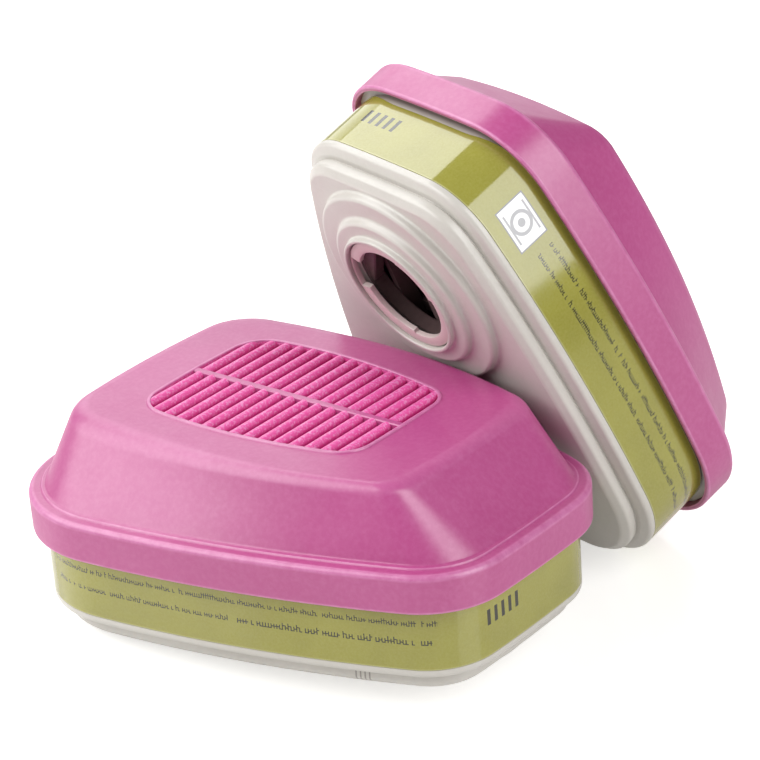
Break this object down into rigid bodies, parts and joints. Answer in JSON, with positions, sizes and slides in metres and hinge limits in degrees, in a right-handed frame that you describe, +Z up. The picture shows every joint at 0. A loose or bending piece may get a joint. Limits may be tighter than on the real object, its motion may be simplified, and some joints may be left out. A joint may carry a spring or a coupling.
{
  "type": "respirator cartridge pair",
  "caption": "Pair of gas and particulate filter cartridges for a half-mask respirator, magenta covers over olive-banded grey bodies, one lying flat and one leaning on it.",
  "frame": {"origin": "middle of the pair's bounding box at floor level", "axes": "+Z up, +X towards the flat cartridge's narrow end, +Y from the flat cartridge towards the leaning one"},
  "size_m": [0.1124, 0.1384, 0.105],
  "materials": {
    "magenta_cover": "satin moulded",
    "grey_body": "satin moulded",
    "ring": "satin moulded",
    "label": "gloss film",
    "filter_media": "matt fibre",
    "potting": "cast resin",
    "grid": "matt moulded",
    "scrim": "felted",
    "charcoal": "granular"
  },
  "bodies": {
    "flat_cartridge": {"flat_filter_cover": "magenta_cover", "flat_pleated_media": "filter_media", "flat_potting_bead": "potting", "flat_filter_frame": "grey_body", "flat_upper_grid": "grid", "flat_upper_scrim": "scrim", "flat_carbon_bed": "charcoal", "flat_lower_scrim": "scrim", "flat_lower_grid": "grid", "flat_cartridge_body": "grey_body", "flat_label_wrap": "label", "flat_bayonet_ring": "ring"},
    "leaning_cartridge": {"leaning_filter_cover": "magenta_cover", "leaning_pleated_media": "filter_media", "leaning_potting_bead": "potting", "leaning_filter_frame": "grey_body", "leaning_upper_grid": "grid", "leaning_upper_scrim": "scrim", "leaning_carbon_bed": "charcoal", "leaning_lower_scrim": "scrim", "leaning_lower_grid": "grid", "leaning_cartridge_body": "grey_body", "leaning_label_wrap": "label", "leaning_bayonet_ring": "ring"}
  },
  "joints": [
    {"name": "leaning_cartridge_lift", "type": "slide", "parent": "flat_cartridge", "child": "leaning_cartridge", "axis": [0, 0, 1], "range_m": [0, 0.12]}
  ]
}
